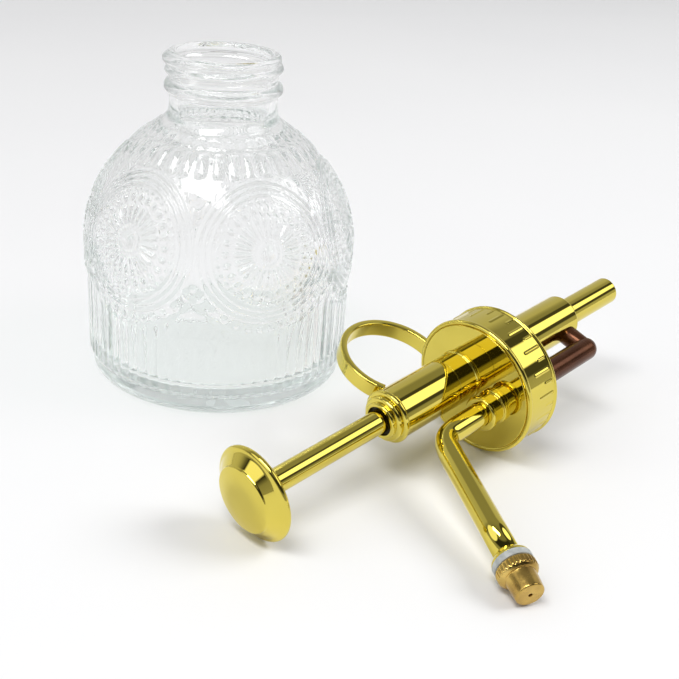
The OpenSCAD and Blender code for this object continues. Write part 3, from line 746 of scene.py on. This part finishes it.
def make_return_spring():
    """The spring inside the cylinder, drawn as one fixed coil at its full length."""
    angles = np.linspace(0, SPRING_TURNS * TURN, SPRING_TURNS * 40 + 1)
    heights = np.linspace(SPRING_LOW + SPRING_WIRE, SPRING_TOP - SPRING_WIRE, len(angles))
    climb = (heights[-1] - heights[0]) / angles[-1]
    out = np.stack([np.cos(angles), np.sin(angles), 0 * angles], axis=1)
    centres = SPRING_R * out + np.stack([0 * angles, 0 * angles, heights], axis=1)
    tangents = np.stack([-SPRING_R * out[:, 1], SPRING_R * out[:, 0], climb + 0 * angles], axis=1)
    sections = [circle_section(SPRING_WIRE, 10)] * len(angles)
    piece = sweep("return_spring_steel", centres, tangents, out, sections, BARREL)
    dress(piece, "pump", "steel", "return_spring")
    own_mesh(piece)


def make_finger_ring():
    """A flat band from the cap's side, out and round to the barrel below its collar."""
    turn = Matrix.Rotation(RING_LEAN - math.pi / 2, 4, "X")
    ring = moved(BARREL, -RING_OFF, 0, RING_Z) @ turn
    middle, w, t = RING_R - RING_T / 2, RING_W / 2, RING_T / 2
    section = np.array(ring_outline([(-w, -t), (w, -t), (w, t), (-w, t)], 0.6, 6))
    angles = np.radians(np.linspace(*RING_ENDS, 121))
    centres = [(middle * math.cos(a), middle * math.sin(a), 0) for a in angles]
    tangents = [(-math.sin(a), math.cos(a), 0) for a in angles]
    piece = sweep("finger_ring_gold", centres, tangents, (0, 0, 1), [section] * len(angles), ring)
    dress(even_normals(piece), "pump", "gold", "finger_ring")


def finish_cad_nodes():
    """Gives every CAD node its slot's finish; the nodes that stay are sealed inside the pump."""
    for sub in RECORD["subparts"]:
        node = frame["nodes"][sub["node"]]
        node.data.materials.clear()
        node.data.materials.append(FINISHES[sub["material_slot"]])


# --- stage --------------------------------------------------------------------------------------

def make_floor():
    """A plain pale floor."""
    n = Nodes("white_floor", Specular_IOR_Level=0.2, Roughness=0.7)
    n.colours(n.noise(3, 2), (0.3, (0.86, 0.86, 0.87)), (0.7, (0.885, 0.885, 0.89)))
    n.bump(n.noise(400, 3), 0.02, 0.2)
    h = FLOOR_HALF
    floor = mesh_object("floor", [(-h, -h, 0), (h, -h, 0), (h, h, 0), (-h, h, 0)], [[0, 1, 2, 3]], WORLD)
    floor.data.materials.append(n.material)


def world_ramp(tree, source, stops):
    """Brightness by a value from 0 to 1."""
    ramp_ = tree.nodes.new("ShaderNodeValToRGB")
    elements = ramp_.color_ramp.elements
    while len(elements) < len(stops):
        elements.new(0.5)
    for element, (place, level) in zip(elements, stops):
        element.position, element.color = place, (level, level, level, 1)
    tree.links.new(source, ramp_.inputs["Fac"])
    return ramp_.outputs["Color"]


def world_mix(tree, factor, first, second):
    """Mixes a colour with another, or with a plain brightness."""
    mix = tree.nodes.new("ShaderNodeMix")
    mix.data_type = "RGBA"
    tree.links.new(factor, mix.inputs["Factor"])
    tree.links.new(first, mix.inputs["A"])
    if isinstance(second, float):
        mix.inputs["B"].default_value = (second, second, second, 1)
    else:
        tree.links.new(second, mix.inputs["B"])
    return mix.outputs["Result"]


def world_patch(tree, place, sky, patch):
    """The sky with a round patch of even brightness."""
    way, cosines, level = patch
    toward, inside = tree.nodes.new("ShaderNodeVectorMath"), tree.nodes.new("ShaderNodeMapRange")
    toward.operation = "DOT_PRODUCT"
    toward.inputs[1].default_value = way
    inside.inputs["From Min"].default_value, inside.inputs["From Max"].default_value = cosines
    tree.links.new(place, toward.inputs[0])
    tree.links.new(toward.outputs["Value"], inside.inputs["Value"])
    return world_mix(tree, inside.outputs["Result"], sky, level)


def make_world():
    """A studio: white paper behind, softboxes on the right and the left, and dark behind the camera."""
    world = bpy.data.worlds.new("studio")
    bpy.context.scene.world = world
    world.use_nodes = True
    tree = world.node_tree
    background = tree.nodes["Background"]
    place = tree.nodes.new("ShaderNodeTexCoord").outputs["Generated"]
    split, behind = tree.nodes.new("ShaderNodeSeparateXYZ"), tree.nodes.new("ShaderNodeMapRange")
    tree.links.new(place, split.inputs["Vector"])
    behind.inputs["From Min"].default_value, behind.inputs["From Max"].default_value = BACK_EDGE
    tree.links.new(split.outputs["Y"], behind.inputs["Value"])
    front = world_ramp(tree, split.outputs["Z"], FRONT_BANDS)
    back = world_ramp(tree, split.outputs["Z"], BACK_BANDS)
    sky = world_mix(tree, behind.outputs["Result"], front, back)
    for patch in (BLACK_FLAG, RIGHT_SOFTBOX, LEFT_SOFTBOX):
        sky = world_patch(tree, place, sky, patch)
    path, through = tree.nodes.new("ShaderNodeLightPath"), tree.nodes.new("ShaderNodeMath")
    through.operation = "MULTIPLY"
    tree.links.new(path.outputs["Is Transmission Ray"], through.inputs[0])
    through.inputs[1].default_value = PAPER_SHARE
    sky = world_mix(tree, through.outputs["Value"], sky, PAPER_LEVEL)
    tree.links.new(sky, background.inputs["Color"])


def add_lamp(name, place, size, power):
    """A soft rectangular lamp that points at LAMP_TARGET."""
    light = bpy.data.lights.new(name, "AREA")
    light.shape = "RECTANGLE"
    light.size, light.size_y = size
    light.energy = power
    lamp = bpy.data.objects.new(name, light)
    lamp.location = place
    lamp.rotation_euler = (Vector(LAMP_TARGET) - Vector(place)).to_track_quat("-Z", "Y").to_euler()
    bpy.context.collection.objects.link(lamp)
    return lamp


def make_camera():
    """The camera stands in front, looks down at the object and is rolled a little."""
    pitch, c, s = CAMERA_PITCH, math.cos(CAMERA_ROLL), math.sin(CAMERA_ROLL)
    ahead = Vector((0, math.cos(pitch), -math.sin(pitch)))
    up = Vector((0, math.sin(pitch), math.cos(pitch)))
    right = Vector((1, 0, 0))
    right, up = right * c + up * s, up * c - right * s
    data = bpy.data.cameras.new("camera")
    data.sensor_width = CAMERA_SENSOR
    data.lens = CAMERA_LENS
    data.clip_start, data.clip_end = 0.01, 20
    camera = bpy.data.objects.new("camera", data)
    camera.matrix_world = frame_matrix(right, up, -ahead, Vector(CAMERA_PLACE))
    bpy.context.collection.objects.link(camera)
    bpy.context.scene.camera = camera


def let_glass_through():
    """Lets light bounce on inside the thick glass until it comes out."""
    cycles = bpy.context.scene.cycles
    cycles.max_bounces = cycles.transmission_bounces = BOUNCES
    cycles.glossy_bounces = GLOSSY_BOUNCES


def main():
    make_camera()
    finish_cad_nodes()
    make_bottle()
    make_cap()
    make_plate()
    make_barrel()
    make_lower_barrel()
    make_transfer_pipe()
    make_socket()
    make_spray_tube()
    make_nozzle()
    make_plunger()
    make_finger_ring()
    make_return_spring()
    make_floor()
    make_world()
    add_lamp("front", *FRONT_LAMP)
    add_lamp("right", *RIGHT_LAMP).visible_glossy = False
    bpy.context.scene.view_settings.view_transform = "Standard"
    let_glass_through()


main()
